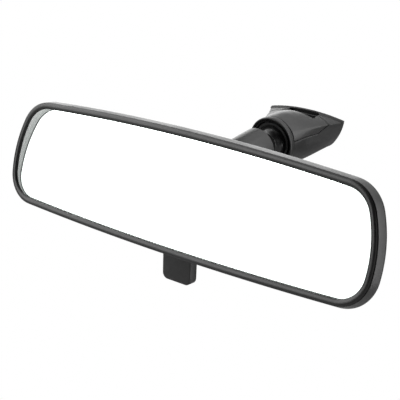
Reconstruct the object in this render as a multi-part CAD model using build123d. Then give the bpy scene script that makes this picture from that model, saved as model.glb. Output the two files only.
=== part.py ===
from build123d import *
import os
from math import cos, radians, sin, sqrt, tan

# Interior rearview mirror with a day/night lever and a twin-ball windscreen arm.
# Row frame: +X along the mirror's long side, +Y forwards to the windscreen, +Z up.
# The origin is the middle of the windscreen pad's flat face. Millimetres and degrees.

# ---- Driving dimensions ----
# Mirror head. Its own frame has its origin at the middle of the rim's front edge.
head_y = -117.0
head_z = -39.4
half_width = 120.0
half_height = 32.05
top_sagitta = 4.67
bottom_sagitta = 3.23
side_sagitta = 8.38
side_centre_z = -7.17
top_corner_radius = 18.6
bottom_corner_radius = 17.7
rim_width = 3.3
case_bulge = 1.0
bulge_depth = 7.4
# round opening in the back of the case that the arm's sleeve swings in, and its height above the ball
opening_radius = 13.9
opening_lift = 2.8
case_depth = 30.5
case_end_depth = 13.0
case_taper = 6.5
case_wall = 1.8
back_fillet = 9.0

# Wedge glass: thin at the bottom, thick at the top.
glass_front = 1.35
glass_thin = 1.5
glass_thick = 6.0
glass_inset = 3.0
silver_thickness = 0.15
tape_thickness = 0.4

# Day/night hinge near the top of the head, lever axle near the bottom.
hinge_y = 12.0
hinge_z = 23.0
hinge_x = 24.0
lever_y = 12.6
lever_z = -23.7
lever_tilt = 12.6
tab_width = 19.4
tab_thickness = 5.7
tab_bottom_z = -47.5
crank_radius = 5.3
crank_lean = 18.0

# Head ball: it lies on the arm's axis, this deep behind the rim.
head_ball_y = 21.0
head_ball_radius = 7.5

# Arm frame: Y runs along the arm's axis, Z across it, origin at the barrel's mouth.
arm_pitch = 17.5
mouth_y = -39.0
mouth_z = -10.7
base_ball_at = 4.0
base_ball_radius = 9.5
neck_radius = 4.5
rod_radius = 6.0
collar_radius = 6.6
sleeve_rear_radius = 11.7
sleeve_rear_at = -11.8
sleeve_front_radius = 8.9
sleeve_front_at = -46.5

# Mount on the windscreen.
barrel_radius = 14.2
bore_radius = 12.2
barrel_end = 22.5
screen_rake = 45.0
pad_half_width = 25.0
plate_thickness = 2.2
flare_inset = 0.3
seam_height = 2.2
cover_length = 22.0
lip_length = 2.6
shelf_radius = 11.2
button_width = 17.6
button_length = 18.6
button_depth = 6.5
button_rise = 1.2
clip_screw_x = 4.2
spring_plate_at = 23.95
spring_plate_end = 24.55
rear_seat_end = base_ball_at + 12.4

fit_gap = 0.1
part_gap = 0.15
liner_wall = 0.9
cup_wall = 0.95
housing_wall = 1.9
base_seat_inner = base_ball_radius + 2 * fit_gap + liner_wall

# Steel pins and screws.
hinge_pin_radius = 1.2
lever_pin_radius = 1.25
pin_play = 0.05
screw_radius = 1.0
screw_head_radius = 2.1
screw_angles = (30, 150, 270)


# ---- Frames ----
head_frame = Pos(0, head_y, head_z)
head_ball_z = mouth_z + (head_y + head_ball_y - mouth_y) * tan(radians(arm_pitch)) - head_z
arm_frame = Pos(0, mouth_y, mouth_z) * Rot(arm_pitch, 0, 0)
head_ball = Pos(0, head_ball_y, head_ball_z)
arm_axis_y = cos(radians(arm_pitch))
arm_axis_z = sin(radians(arm_pitch))
head_ball_at = (head_y + head_ball_y - mouth_y) / arm_axis_y


def rim_plane(depth):
    """Plane parallel to the mirror's face, this deep behind the rim's front edge."""
    return Plane.XZ.offset(-depth)


def turned(points):
    """Solid turned about Y from (radius, y) points."""
    return revolve(make_face(Polyline(points, close=True)), axis=Axis.Y)


def peg(radius, low, high, x=0.0, z=0.0):
    """Cylinder along Y."""
    return turned([(0, low), (radius, low), (radius, high), (0, high)]).moved(Pos(x, 0, z))


def cross_pin(radius, half_length, y=0.0, z=0.0):
    """Cylinder along X, centred on X = 0."""
    return Pos(0, y, z) * Rot(0, 90, 0) * Cylinder(radius, 2 * half_length)


def ball_shell(inner, outer, front, back):
    """Part of a hollow ball about Y, between two angles measured from its front, which faces -Y."""
    def at(radius, angle):
        return (radius * sin(radians(angle)), -radius * cos(radians(angle)))
    middle = (front + back) / 2
    edge = [
        ThreePointArc(at(inner, front), at(inner, middle), at(inner, back)),
        Line(at(inner, back), at(outer, back)),
        ThreePointArc(at(outer, back), at(outer, middle), at(outer, front)),
        Line(at(outer, front), at(inner, front)),
    ]
    return revolve(make_face(edge), axis=Axis.Y)


# ---- Mirror head: outline ----
def arc_radius(half_chord, sagitta):
    return (half_chord ** 2 + sagitta ** 2) / (2 * sagitta)


def outline_corner(sagitta, up, outward):
    """Where the right side arc meets the top arc (up = 1) or the bottom arc (up = -1)."""
    long_radius = arc_radius(half_width, sagitta)
    side_radius = arc_radius(half_height, side_sagitta)
    x = half_width
    for _ in range(20):
        z = up * (half_height - long_radius + sqrt((long_radius + outward) ** 2 - x ** 2))
        x = half_width - side_radius + sqrt((side_radius + outward) ** 2 - (z - side_centre_z) ** 2)
    return (x, z)


def outline(outward=0.0):
    """Mirror outline: four slack arcs with rounded corners, moved outwards by this much."""
    top = outline_corner(top_sagitta, 1, outward)
    low = outline_corner(bottom_sagitta, -1, outward)
    wide = half_width + outward
    tall = half_height + outward
    shape = make_face([
        ThreePointArc((-top[0], top[1]), (0, tall), top),
        ThreePointArc(top, (wide, side_centre_z), low),
        ThreePointArc(low, (0, -tall), (-low[0], low[1])),
        ThreePointArc((-low[0], low[1]), (-wide, side_centre_z), (-top[0], top[1])),
    ])
    shape = fillet(shape.vertices().sort_by(Axis.Y)[-2:], top_corner_radius + outward)
    return fillet(shape.vertices().sort_by(Axis.Y)[:2], bottom_corner_radius + outward)


def between(depth_a, outward_a, depth_b, outward_b):
    """Solid between two offset outlines at two depths."""
    sections = [rim_plane(depth_a) * outline(outward_a), rim_plane(depth_b) * outline(outward_b)]
    return loft(sections, ruled=True)


# ---- Mirror head: bezel and case ----
def make_bezel():
    """Convex face ring with a lip over the glass and a spigot inside the case."""
    rim_edge = -0.15
    crest = -rim_width / 2 - 0.1
    crest_depth = -0.1
    bevel_start = (-rim_width - 0.1, 0.45)
    lip_edge = -rim_width - 0.5
    lip_back = glass_front - 0.05
    spigot_inner = -2.6
    spigot_outer = -2.0
    spigot_end = 6.5
    rim_back = 0.9
    section = [
        Line((rim_edge, rim_back), (rim_edge, 0.5)),
        ThreePointArc((rim_edge, 0.5), (crest, crest_depth), bevel_start),
        Line(bevel_start, (lip_edge, lip_back)),
        Line((lip_edge, lip_back), (spigot_inner, lip_back)),
        Line((spigot_inner, lip_back), (spigot_inner, spigot_end)),
        Line((spigot_inner, spigot_end), (spigot_outer, spigot_end)),
        Line((spigot_outer, spigot_end), (spigot_outer, rim_back)),
        Line((spigot_outer, rim_back), (rim_edge, rim_back)),
    ]
    path = (rim_plane(0) * outline()).face().outer_wire()
    start = path @ 0
    along = path % 0
    outward = along.cross(Vector(0, 1, 0)).normalized()
    middle = Vector(0, 0, 0) - start
    if outward.dot(middle) > 0:
        outward = outward * -1
    frame = Plane(origin=start, x_dir=outward, z_dir=outward.cross(Vector(0, 1, 0)))
    profile = frame * make_face(section)
    return sweep(profile, path=path)


def case_lug(x, y, z, reach, pin_radius):
    """Boss plate in the case that carries a pin along X, joined to the wall above or below."""
    thick = 3.0
    radius = 3.2
    eye = Pos(x, y, z) * Rot(0, 90, 0) * Cylinder(radius, thick)
    stem = Pos(x, y, (z + reach) / 2) * Box(thick, 2 * radius, abs(reach - z))
    hole = Pos(x, y, z) * Rot(0, 90, 0) * Cylinder(pin_radius, 2 * thick)
    return eye + stem - hole


def behind_limit(shrink):
    """Everything ahead of the case's back, which bows along its length; its skin moved in by this much."""
    bow = arc_radius(half_width, case_depth - case_end_depth)
    return Pos(0, case_depth - bow, 0) * Cylinder(bow - shrink, 4 * half_height)


def case_body(shrink):
    """Tapered body of the case behind its widest line, with a bowed back and rounded back edges."""
    past_back = case_depth + 2.0
    body = between(bulge_depth, case_bulge - shrink, past_back, -case_taper - shrink)
    body = body & behind_limit(shrink)
    return fillet(body.faces().sort_by(Axis.Y)[-1].edges(), back_fillet - shrink)


def make_rear_case():
    """Shell with a bulged side wall, a domed back, an arm opening and a slot for the lever."""
    case_front = 0.95
    shell = between(case_front, 0.0, bulge_depth, case_bulge)
    body = case_body(0.0)
    hollow = case_body(case_wall)
    mouth = between(0.0, -case_wall, bulge_depth, case_bulge - case_wall)
    case = shell + body - hollow - mouth
    hinge_lug_x = hinge_x + 3.0
    lever_lug_x = 12.6
    lug_top = half_height - 1.9
    lug_low = -half_height + 1.9
    for side in (-1, 1):
        case += case_lug(side * hinge_lug_x, hinge_y, hinge_z, lug_top, hinge_pin_radius + pin_play)
        case += case_lug(side * lever_lug_x, lever_y, lever_z, lug_low, lever_pin_radius + pin_play)
    rib_front = lever_y + 6.0
    rib_back = case_depth - 1.0
    rib_z = lever_z + 3.9
    case += Pos(0, (rib_front + rib_back) / 2, rib_z) * Box(10.0, rib_back - rib_front, 2.0)
    opening = peg(opening_radius, 20.0, 40.0, z=head_ball_z + opening_lift)
    slot_y = 11.6
    slot_length = 13.6
    slot = Pos(0, slot_y, -half_height) * Box(tab_width + 1.4, slot_length, 9.0)
    return case - opening - slot


# ---- Mirror head: glass ----
def wedge_slab(inset, start, thickness):
    """Slab behind the glass's sloping back: it starts this far behind that face."""
    slope = (glass_thick - glass_thin) / (2 * half_height)
    middle = glass_front + (glass_thick + glass_thin) / 2 + start
    tall = 2 * half_height
    section = make_face(Polyline([
        (middle - slope * tall, -tall),
        (middle + slope * tall, tall),
        (middle + slope * tall + thickness, tall),
        (middle - slope * tall + thickness, -tall),
    ], close=True))
    slab = extrude(Plane.YZ * section, amount=half_width + 5, both=True)
    return slab & extrude(rim_plane(20) * outline(-inset), amount=22)


def make_prism_glass():
    """Wedge glass, thick edge up."""
    deep = wedge_slab(glass_inset, -10.0, 10.0)
    front = Pos(0, glass_front / 2 - 10, 0) * Box(300, glass_front + 20, 120)
    return deep - front


def make_silver_backing():
    return wedge_slab(glass_inset + 0.3, 0.0, silver_thickness)


def make_backing_tape():
    """Film on the silver's back that holds the glass together if it breaks."""
    return wedge_slab(glass_inset + 1.0, silver_thickness, tape_thickness)


# ---- Mirror head: day/night bracket, ball socket and lever ----
liner_outer = head_ball_radius + fit_gap + liner_wall
cup_outer = liner_outer + fit_gap + cup_wall
socket_inner = cup_outer + fit_gap
socket_radius = socket_inner + housing_wall


def make_tilt_bracket():
    """Plate hinged to the case at its top, with the ball's housing in its middle and a fork below."""
    plate_y = 11.4
    plate_thick = 2.0
    ear_x = hinge_x - 1.0
    ear_thick = 2.4
    plate = Pos(0, plate_y, 4.0) * Box(34, plate_thick, 34)
    plate += Pos(0, plate_y, 20.0) * Box(2 * ear_x + 1.0, plate_thick, 5.0)
    for side in (-1, 1):
        plate += Pos(side * ear_x, hinge_y, hinge_z) * Rot(0, 90, 0) * Cylinder(3.0, ear_thick)
        plate += Pos(side * ear_x, plate_y + 0.3, hinge_z - 2.5) * Box(ear_thick, 3.0, 5.0)
    crank = crank_place()
    fork_width = 7.0
    fork_reach = 2.35
    for side in (-1, 1):
        plate += Pos(0, crank[0] + side * fork_reach, crank[1] + 0.7) * Box(fork_width, 1.8, 4.5)
    tongue_top = -12.0
    tongue_low = crank[1] + 2.6
    tongue_z = (tongue_top + tongue_low) / 2
    plate += Pos(0, crank[0], tongue_z) * Box(fork_width, 6.5, tongue_top - tongue_low)
    housing_back = -socket_inner - 2.4
    housing_floor = -socket_inner - 1.2
    housing_rim = -0.1
    housing = head_ball * turned([
        (0, housing_back), (socket_radius, housing_back), (socket_radius, housing_rim),
        (socket_inner, housing_rim), (socket_inner, housing_floor), (0, housing_floor),
    ])
    for angle in screw_angles:
        housing += screw_boss(angle, housing_back, housing_rim) - screw_hole(angle, screw_radius + pin_play)
    inside = head_ball * peg(socket_inner, housing_floor, 5.0)
    bracket = plate - inside + housing
    for side in (-1, 1):
        eye = Rot(0, 90, 0) * Cylinder(hinge_pin_radius + pin_play, 6.0)
        bracket -= Pos(side * ear_x, hinge_y, hinge_z) * eye
    return bracket


def around_ball(angle):
    """Place of a ring screw, on a circle round the head ball."""
    circle = socket_radius + 2.4
    return Pos(circle * cos(radians(angle)), 0, circle * sin(radians(angle)))


def screw_boss(angle, low, high):
    return head_ball * around_ball(angle) * peg(2.6, low, high)


def screw_hole(angle, radius):
    return head_ball * around_ball(angle) * peg(radius, -9.0, 12.0)


def make_socket_ring():
    """Ring with a hollow round seat that keeps the ball in the housing."""
    seat_angle = 62.0
    lip_y = socket_inner * cos(radians(seat_angle))
    lip_radius = socket_inner * sin(radians(seat_angle))
    ring_top = lip_y + 0.8
    boss_top = 2.0
    ring = head_ball * turned([
        (0, 0), (socket_radius, 0), (socket_radius, boss_top), (socket_radius - 1.2, ring_top), (0, ring_top),
    ])
    for angle in screw_angles:
        ring += screw_boss(angle, 0.0, boss_top)
    ring -= head_ball * Sphere(socket_inner)
    ring -= head_ball * turned([
        (0, lip_y - 0.5), (lip_radius, lip_y - 0.5), (lip_radius, lip_y), (socket_inner + 7.0, 12.0), (0, 12.0),
    ])
    for angle in screw_angles:
        ring -= screw_hole(angle, screw_radius + 0.25)
    return ring


def make_socket_screws():
    """Three pan-head screws of the ring."""
    screws = []
    head_low = 2.05
    head_high = 3.4
    cross = Box(2.4, 1.4, 0.5) + Box(0.5, 1.4, 2.4)
    for angle in screw_angles:
        shank = peg(screw_radius, -7.5, head_low)
        head = fillet(peg(screw_head_radius, head_low, head_high).edges().sort_by(Axis.Y)[-1:], 0.6)
        recess = cross.moved(Pos(0, head_high - 0.2, 0))
        screws.append(head_ball * around_ball(angle) * (shank + head - recess))
    return Compound(children=screws)


def along_arm(solid):
    """Turn a solid about the head ball so that its Y axis lies along the arm."""
    return head_ball * Rot(arm_pitch, 0, 0) * solid


def make_head_ball_liner():
    """Split nylon liner round the head ball."""
    ring = ball_shell(head_ball_radius + fit_gap, liner_outer, 68, 122)
    return along_arm(ring - Pos(0, 0, -8) * Box(0.6, 20, 6))


def make_head_ball_cup():
    """Pressure cup round the liner, closed behind the ball."""
    return along_arm(ball_shell(liner_outer + fit_gap, cup_outer, 0, 98))


def make_head_spring_washer():
    """Dished spring washer between the housing's floor and the cup."""
    floor = -socket_inner - 1.15
    return head_ball * turned([(8.6, floor), (8.6, floor + 0.4), (4.3, floor + 1.7), (3.6, floor + 1.5)])


def make_hinge_pins():
    """Two steel pins of the case's hinge."""
    pins = []
    for side in (-1, 1):
        pin = Rot(0, 90, 0) * Cylinder(hinge_pin_radius, 7.4)
        pins.append(Pos(side * (hinge_x + 1.2), hinge_y, hinge_z) * pin)
    return Compound(children=pins)


def crank_place():
    """Middle of the lever's crank bar: (y, z) in the head's frame."""
    return (lever_y - crank_radius * sin(radians(crank_lean)), lever_z + crank_radius * cos(radians(crank_lean)))


def make_toggle_lever():
    """Day/night lever: a hub on the axle, a crank bar above it and the tab below."""
    hub = cross_pin(3.0, 10.6)
    crank = crank_place()
    bar = cross_pin(1.2, 6.6, crank[0] - lever_y, crank[1] - lever_z)
    web = Box(2.4, 2.4, crank_radius + 2.2)
    for side in (-1, 1):
        bar += Rot(crank_lean, 0, 0) * Pos(side * 5.4, 0, crank_radius / 2) * web
    length = (lever_z - tab_bottom_z) / cos(radians(lever_tilt))
    blade = Pos(0, 0, -length / 2) * Box(tab_width, tab_thickness, length)
    blade = fillet(blade.edges().filter_by(Axis.Y).group_by(Axis.Z)[0], 3.4)
    rims = blade.faces().sort_by(Axis.Y)[0].edges() + blade.faces().sort_by(Axis.Y)[-1].edges()
    blade = fillet([rim for rim in rims if rim.center().Z < -1.0], 0.55)
    blade = Rot(lever_tilt, 0, 0) * blade
    lever = hub + blade + bar - cross_pin(lever_pin_radius + pin_play, 20.0)
    return Pos(0, lever_y, lever_z) * lever


def make_toggle_pin():
    """Steel axle of the lever."""
    return cross_pin(lever_pin_radius, 14.0, lever_y, lever_z)


def make_toggle_spring():
    """Leaf spring that bears on the lever's hub from behind."""
    leaf = 0.4
    width = 8.0
    leaf_y = lever_y + 3.15
    blade = Pos(0, leaf_y + leaf / 2, lever_z + 0.9) * Box(width, leaf, 3.8)
    foot = Pos(0, leaf_y + width / 2, lever_z + 2.6) * Box(width, width, leaf)
    return blade + foot


# ---- Arm ----
def make_stalk_rod():
    """Metal rod with a ball at each end."""
    collar_start = sleeve_rear_at - 1.0
    collar_end = base_ball_at - 4.0
    rod = peg(neck_radius, head_ball_at + 3.0, sleeve_front_at + 2.0)
    rod += peg(rod_radius, sleeve_front_at, sleeve_rear_at)
    rod += turned([
        (0, collar_start), (collar_radius, collar_start), (rod_radius, collar_end), (0, collar_end),
    ])
    rod += Pos(0, head_ball_at, 0) * Sphere(head_ball_radius)
    rod += Pos(0, base_ball_at, 0) * Sphere(base_ball_radius)
    return rod


def make_stalk_sleeve():
    """Tapered plastic sleeve moulded round the rod."""
    outer = turned([
        (0, sleeve_front_at), (sleeve_front_radius, sleeve_front_at),
        (sleeve_rear_radius, sleeve_rear_at), (0, sleeve_rear_at),
    ])
    ends = outer.edges().filter_by(GeomType.CIRCLE).sort_by(Axis.Y)
    outer = fillet(ends[:1], 2.2)
    ends = outer.edges().filter_by(GeomType.CIRCLE).sort_by(Axis.Y)
    outer = fillet(ends[-1:], 0.7)
    rear_pocket = turned([
        (0, sleeve_rear_at - 1.2), (collar_radius + 0.05, sleeve_rear_at - 1.2), (10.3, sleeve_rear_at - 0.9),
        (10.6, sleeve_rear_at + 1), (0, sleeve_rear_at + 1),
    ])
    return outer - rear_pocket - peg(rod_radius + 0.05, sleeve_front_at - 5, sleeve_rear_at + 5)


# ---- Mount: outer form, in the arm frame ----
def arm_plane(along):
    """Plane square to the arm's axis, with its y upwards."""
    return Plane.XZ.offset(-along)


def pad_plane(depth=0.0):
    """Plane of the windscreen pad's face, or this deep behind it, in the arm frame."""
    lean = radians(screen_rake - arm_pitch)
    along = -mouth_y * arm_axis_y - mouth_z * arm_axis_z
    across = mouth_y * arm_axis_z - mouth_z * arm_axis_y
    plane = Plane(origin=(0, along, across), x_dir=(1, 0, 0), z_dir=(0, -cos(lean), -sin(lean)))
    return plane.offset(depth)


def four_arcs(corner, top, side, joint, bottom):
    """Closed symmetric outline of four arcs: points on its right half, top and bottom on the middle line."""
    mirrored = [(-x, y) for x, y in (corner, side, joint)]
    return make_face([
        ThreePointArc(mirrored[0], (0, top), corner),
        ThreePointArc(corner, side, joint),
        ThreePointArc(joint, (0, bottom), mirrored[2]),
        ThreePointArc(mirrored[2], mirrored[1], mirrored[0]),
    ])


def barrel_section(radius):
    """The barrel's circle, split where the pad's outline has its corners."""
    def at(angle):
        return (radius * sin(radians(angle)), radius * cos(radians(angle)))
    return four_arcs(at(60), radius, at(92), at(125), -radius)


def pad_section(inset=0.0):
    """Shield outline of the pad: arched top, slanted sides, round foot."""
    return four_arcs(
        (pad_half_width - 1.3 * inset, 11.0 - 0.9 * inset), 14.7 - inset,
        (20.4 - 0.9 * inset, 2.0 + 0.3 * inset), (14.3 - 0.8 * inset, -7.2 + 0.5 * inset), -14.2 + inset,
    )


def flare(radius, inset, depth):
    """Body that widens from the barrel to the pad."""
    start = 17.0
    return loft([arm_plane(start) * barrel_section(radius), pad_plane(depth) * pad_section(inset)], ruled=True)


def valley(grow):
    """Round trough across the top, between the barrel's end and the pad."""
    return cross_pin(7.0 + grow, 40.0, 28.0, 17.6)


def mount_form():
    """Whole outer form of the mount: barrel, flare with a valley behind the barrel, and the pad's plate."""
    body = flare(barrel_radius, flare_inset, plate_thickness) - valley(0.0)
    body += peg(barrel_radius, lip_length, barrel_end)
    plate = extrude(pad_plane() * pad_section(), amount=plate_thickness)
    return body + plate


def mount_hollow():
    """Space inside the mount: bore, and the flare's inside down to the pad's floor."""
    wall = 2.0
    space = peg(bore_radius, lip_length, 18.0)
    inside = flare(bore_radius, flare_inset + wall, plate_thickness + 1.6) - valley(wall)
    return space + inside


def button_block(grow, depth):
    """Box round the windscreen button's pocket, open at the pad's face."""
    block = Rectangle(button_width + 2 * grow, button_length + 2 * grow)
    return extrude(pad_plane(-0.5) * Pos(0, button_rise) * block, amount=depth + 0.5)


def cover_zone(gap):
    """Region of the upper cover: above the seam, behind the lip, ahead of a plane that leans back."""
    lean = 0.85
    low = seam_height + gap
    start = lip_length + 0.35 + gap
    foot = cover_length - gap
    rise = 20.0
    side = make_face(Polyline([
        (start, low), (foot, low), (foot + lean * rise, low + rise), (start, low + rise),
    ], close=True))
    zone = extrude(Plane.YZ * side, amount=40, both=True)
    ahead = extrude(pad_plane(1.0 + gap) * Rectangle(100, 100), amount=60)
    return zone & ahead


# ---- Mount: pieces ----
def bulkhead():
    """Cross wall behind the coil spring: joined to the base below the seam, clear of the cover above it."""
    start = spring_plate_end + 0.05
    thick = 1.8
    below = Pos(0, start + thick / 2, seam_height - 20) * Box(60, thick, 40)
    above = peg(11.0, start, start + thick) & Pos(0, start, -12.0) * Box(60, 10, 40)
    return (mount_form() & below) + above


def make_mount_base():
    """Lip ring, lower half of the barrel and the windscreen pad with the button's pocket."""
    rim_radius = barrel_radius + 0.1
    lip_front = -0.7
    lip = peg(rim_radius, lip_front, lip_length) - peg(bore_radius, lip_front - 1.0, lip_length + 1.0)
    lip = fillet(lip.edges().filter_by(GeomType.CIRCLE).group_by(Axis.Y)[0], 0.9)
    shelf = peg(bore_radius + 0.1, 0.5, lip_length) - peg(shelf_radius, 0.0, lip_length + 1.0)
    lip += shelf
    form = mount_form()
    solid = form - mount_hollow()
    solid += form & button_block(1.8, button_depth + 1.6)
    solid -= cover_zone(0.0)
    solid += bulkhead()
    solid += lip
    boss = Cylinder(2.4, 4.0, align=(Align.CENTER, Align.CENTER, Align.MIN))
    for across in (-clip_screw_x, clip_screw_x):
        solid += clip_place(across) * boss
    solid -= button_block(0.0, button_depth)
    for across in (-clip_screw_x, clip_screw_x):
        solid -= clip_place(across) * Cylinder(screw_radius + pin_play, 12.0)
    return solid


def make_mount_cover():
    """Upper half shell of the barrel, with two legs that hook into the base."""
    cover = (mount_form() - mount_hollow()) & cover_zone(part_gap / 2)
    leg_at = 19.5
    for side in (-1, 1):
        leg = Pos(side * 11.2, leg_at, 1.2) * Box(1.2, 4.0, 7.0)
        root = Pos(side * 12.1, leg_at, 3.7) * Box(2.4, 4.0, 2.6)
        cover += (leg & peg(bore_radius - 0.1, leg_at - 2.5, leg_at + 2.5)) + root
    return cover


def make_front_seat():
    """Seat ring in the barrel's mouth, hollow on its inside to fit the liner."""
    ring = peg(bore_radius - 0.1, lip_length + 0.1, base_ball_at + 1.0)
    ring += peg(shelf_radius - 0.1, 0.7, lip_length + 0.1)
    ring -= Pos(0, base_ball_at, 0) * Sphere(base_seat_inner)
    return ring


def make_rear_seat():
    """Sliding seat behind the rear ball, pushed forward by the coil spring."""
    seat = peg(bore_radius - 0.1, base_ball_at + 1.6, rear_seat_end)
    seat -= Pos(0, base_ball_at, 0) * Sphere(base_seat_inner)
    return seat - peg(4.0, 0, 30)


def make_base_ball_liner():
    """Split nylon liner round the rear ball."""
    liner = ball_shell(base_ball_radius + fit_gap, base_ball_radius + fit_gap + liner_wall, 74, 130)
    liner -= Pos(0, 0, -10) * Box(0.6, 30, 8)
    return Pos(0, base_ball_at, 0) * liner


def make_seat_spring():
    """Coil spring between the rear seat and its washer."""
    wire = 0.65
    turns = 3
    low = rear_seat_end + wire + 0.05
    tall = spring_plate_at - 0.05 - wire - low
    coil = Helix(pitch=tall / turns, height=tall, radius=6.4)
    start = Plane(origin=coil @ 0, z_dir=coil % 0)
    spring = sweep(start * Circle(wire), path=coil)
    return Pos(0, low, 0) * Rot(-90, 0, 0) * spring


def make_spring_plate():
    """Steel washer between the coil spring and the base's bulkhead."""
    return peg(8.0, spring_plate_at, spring_plate_end) - peg(3.0, 20, 30)


def clip_place(across):
    """Place of a clip screw on the pocket's floor, with its z away from the pad's face."""
    return pad_plane(button_depth).location * Pos(across, button_rise + 6.0, 0)


def make_button_clip():
    """Leaf clip on the pocket's floor: a flat foot under two screws and a bowed tongue."""
    floor = button_depth - 0.05
    leaf = 0.5
    clip_bow = 1.2
    top = button_rise + button_length / 2 - 0.6
    foot = top - 6.5
    tip = button_rise - button_length / 2 + 0.6
    middle = (foot + tip) / 2
    section = make_face([
        Line((top, floor), (foot, floor)),
        ThreePointArc((foot, floor), (middle, floor - clip_bow), (tip, floor)),
        Line((tip, floor), (tip, floor - leaf)),
        ThreePointArc((tip, floor - leaf), (middle, floor - clip_bow - leaf), (foot, floor - leaf)),
        Line((foot, floor - leaf), (top, floor - leaf)),
        Line((top, floor - leaf), (top, floor)),
    ])
    clip = pad_plane().location * extrude(Plane.YZ * section, amount=6.5, both=True)
    for across in (-clip_screw_x, clip_screw_x):
        clip -= clip_place(across) * Cylinder(1.2, 6.0)
    return clip


def make_clip_screws():
    """Two pan-head screws of the clip."""
    screws = []
    for across in (-clip_screw_x, clip_screw_x):
        shank = Pos(0, 0, 1.2) * Cylinder(screw_radius, 4.9)
        head = Pos(0, 0, -1.15) * Cylinder(2.0, 1.1)
        head = fillet(head.edges().sort_by(Axis.Z)[:1], 0.5)
        recess = Pos(0, 0, -1.6) * (Box(2.2, 0.5, 1.0) + Box(0.5, 2.2, 1.0))
        screws.append(clip_place(across) * (shank + head - recess))
    return Compound(children=screws)


def write_parts():
    """Build every piece in the row frame and write one STEP file for each."""
    pieces = {
        "bezel": head_frame * make_bezel(),
        "rear_case": head_frame * make_rear_case(),
        "prism_glass": head_frame * make_prism_glass(),
        "silver_backing": head_frame * make_silver_backing(),
        "backing_tape": head_frame * make_backing_tape(),
        "tilt_bracket": head_frame * make_tilt_bracket(),
        "hinge_pins": head_frame * make_hinge_pins(),
        "socket_ring": head_frame * make_socket_ring(),
        "socket_screws": head_frame * make_socket_screws(),
        "head_ball_liner": head_frame * make_head_ball_liner(),
        "head_ball_cup": head_frame * make_head_ball_cup(),
        "head_spring_washer": head_frame * make_head_spring_washer(),
        "toggle_lever": head_frame * make_toggle_lever(),
        "toggle_pin": head_frame * make_toggle_pin(),
        "toggle_spring": head_frame * make_toggle_spring(),
        "stalk_rod": arm_frame * make_stalk_rod(),
        "stalk_sleeve": arm_frame * make_stalk_sleeve(),
        "base_ball_liner": arm_frame * make_base_ball_liner(),
        "front_seat": arm_frame * make_front_seat(),
        "rear_seat": arm_frame * make_rear_seat(),
        "seat_spring": arm_frame * make_seat_spring(),
        "spring_plate": arm_frame * make_spring_plate(),
        "mount_base": arm_frame * make_mount_base(),
        "mount_cover": arm_frame * make_mount_cover(),
        "button_clip": arm_frame * make_button_clip(),
        "clip_screws": arm_frame * make_clip_screws(),
    }
    os.makedirs("parts", exist_ok=True)
    for name, piece in pieces.items():
        export_step(piece, f"parts/{name}.step")


write_parts()
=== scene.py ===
from math import acos, asin, atan2, cos, degrees, exp, hypot, pi, radians, sin, sqrt, tan

import bmesh
import bpy
import numpy as np
from mathutils import Matrix, Vector


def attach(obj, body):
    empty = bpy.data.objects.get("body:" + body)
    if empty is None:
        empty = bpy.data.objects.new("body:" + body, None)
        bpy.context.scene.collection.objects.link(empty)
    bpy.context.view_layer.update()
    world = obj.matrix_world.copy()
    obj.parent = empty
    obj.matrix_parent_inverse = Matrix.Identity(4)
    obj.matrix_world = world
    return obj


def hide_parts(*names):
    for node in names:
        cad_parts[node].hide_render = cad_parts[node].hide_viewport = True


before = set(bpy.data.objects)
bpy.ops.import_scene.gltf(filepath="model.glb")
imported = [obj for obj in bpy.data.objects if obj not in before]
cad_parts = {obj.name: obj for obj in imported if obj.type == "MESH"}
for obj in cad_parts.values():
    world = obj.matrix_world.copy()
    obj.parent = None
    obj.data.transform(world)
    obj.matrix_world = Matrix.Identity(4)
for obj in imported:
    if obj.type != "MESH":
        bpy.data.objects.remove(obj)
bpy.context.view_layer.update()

# Interior rearview mirror. Shapes are worked out in millimetres, in the head's frame or in the arm's
# frame, and each finished mesh is then moved to the row frame, in metres.
MM = 0.001
HEAD = Matrix.Translation((0, -0.117, -0.0394)) @ Matrix.Scale(MM, 4)
ARM_PITCH = radians(17.5)
ARM = Matrix.Translation((0, -0.039, -0.0107)) @ Matrix.Rotation(ARM_PITCH, 4, "X") @ Matrix.Scale(MM, 4)

# Outline of the head: four shallow arcs, joined by rounder corners
HALF_WIDTH = 120.0
HALF_HEIGHT = 32.05
TOP_SAGITTA = 4.67
BOTTOM_SAGITTA = 3.23
SIDE_SAGITTA = 8.38
SIDE_CENTRE_Z = -7.17
TOP_CORNER = 18.6
BOTTOM_CORNER = 17.7

# Rim: its face is an arc, its lip lies over the glass, and its spigot stands in the case
RIM_WIDTH = 3.3
RIM_RISE = 0.62
RIM_FRONT = 0.09
RIM_LIP = 0.42
SPIGOT_INNER = -2.6
SPIGOT_OUTER = -2.0
SPIGOT_DEPTH = 6.5

# Wedge glass: thin at the bottom, thick at the top. It is thinner than the real one, because its
# clear material doesn't bend light and would show the edge too wide.
GLASS_FRONT = 1.35
GLASS_THIN = 0.3
GLASS_THICK = 3.7
GLASS_INSET = 3.0
GLASS_ARRIS = 0.12
BACK_ARRIS = 0.05
SILVER_GAP = 0.01
SILVER_BACK = 0.15
FILM_FRONT = 0.16
FILM_BACK = 0.5

# Case: its wall bulges behind the rim, and its back bows along its length
CASE_DEPTH = 30.5
CASE_END_DEPTH = 13.0
CASE_SAG = 0.6
CASE_BULGE = 0.95
CASE_BULGE_DEPTH = 7.4
CASE_WALL = 1.8
SPINE_FROM = -15.0
SPINE_Z = -4.0
HEAD_BALL_Z = 10.73
OPENING_RADIUS = 13.9
OPENING_LIFT = 2.8
OPENING_FLARE = 1.4
SLOT_HALF_WIDTH = 10.4
SLOT_FRONT = 4.8
SLOT_BACK = 18.4


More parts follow.
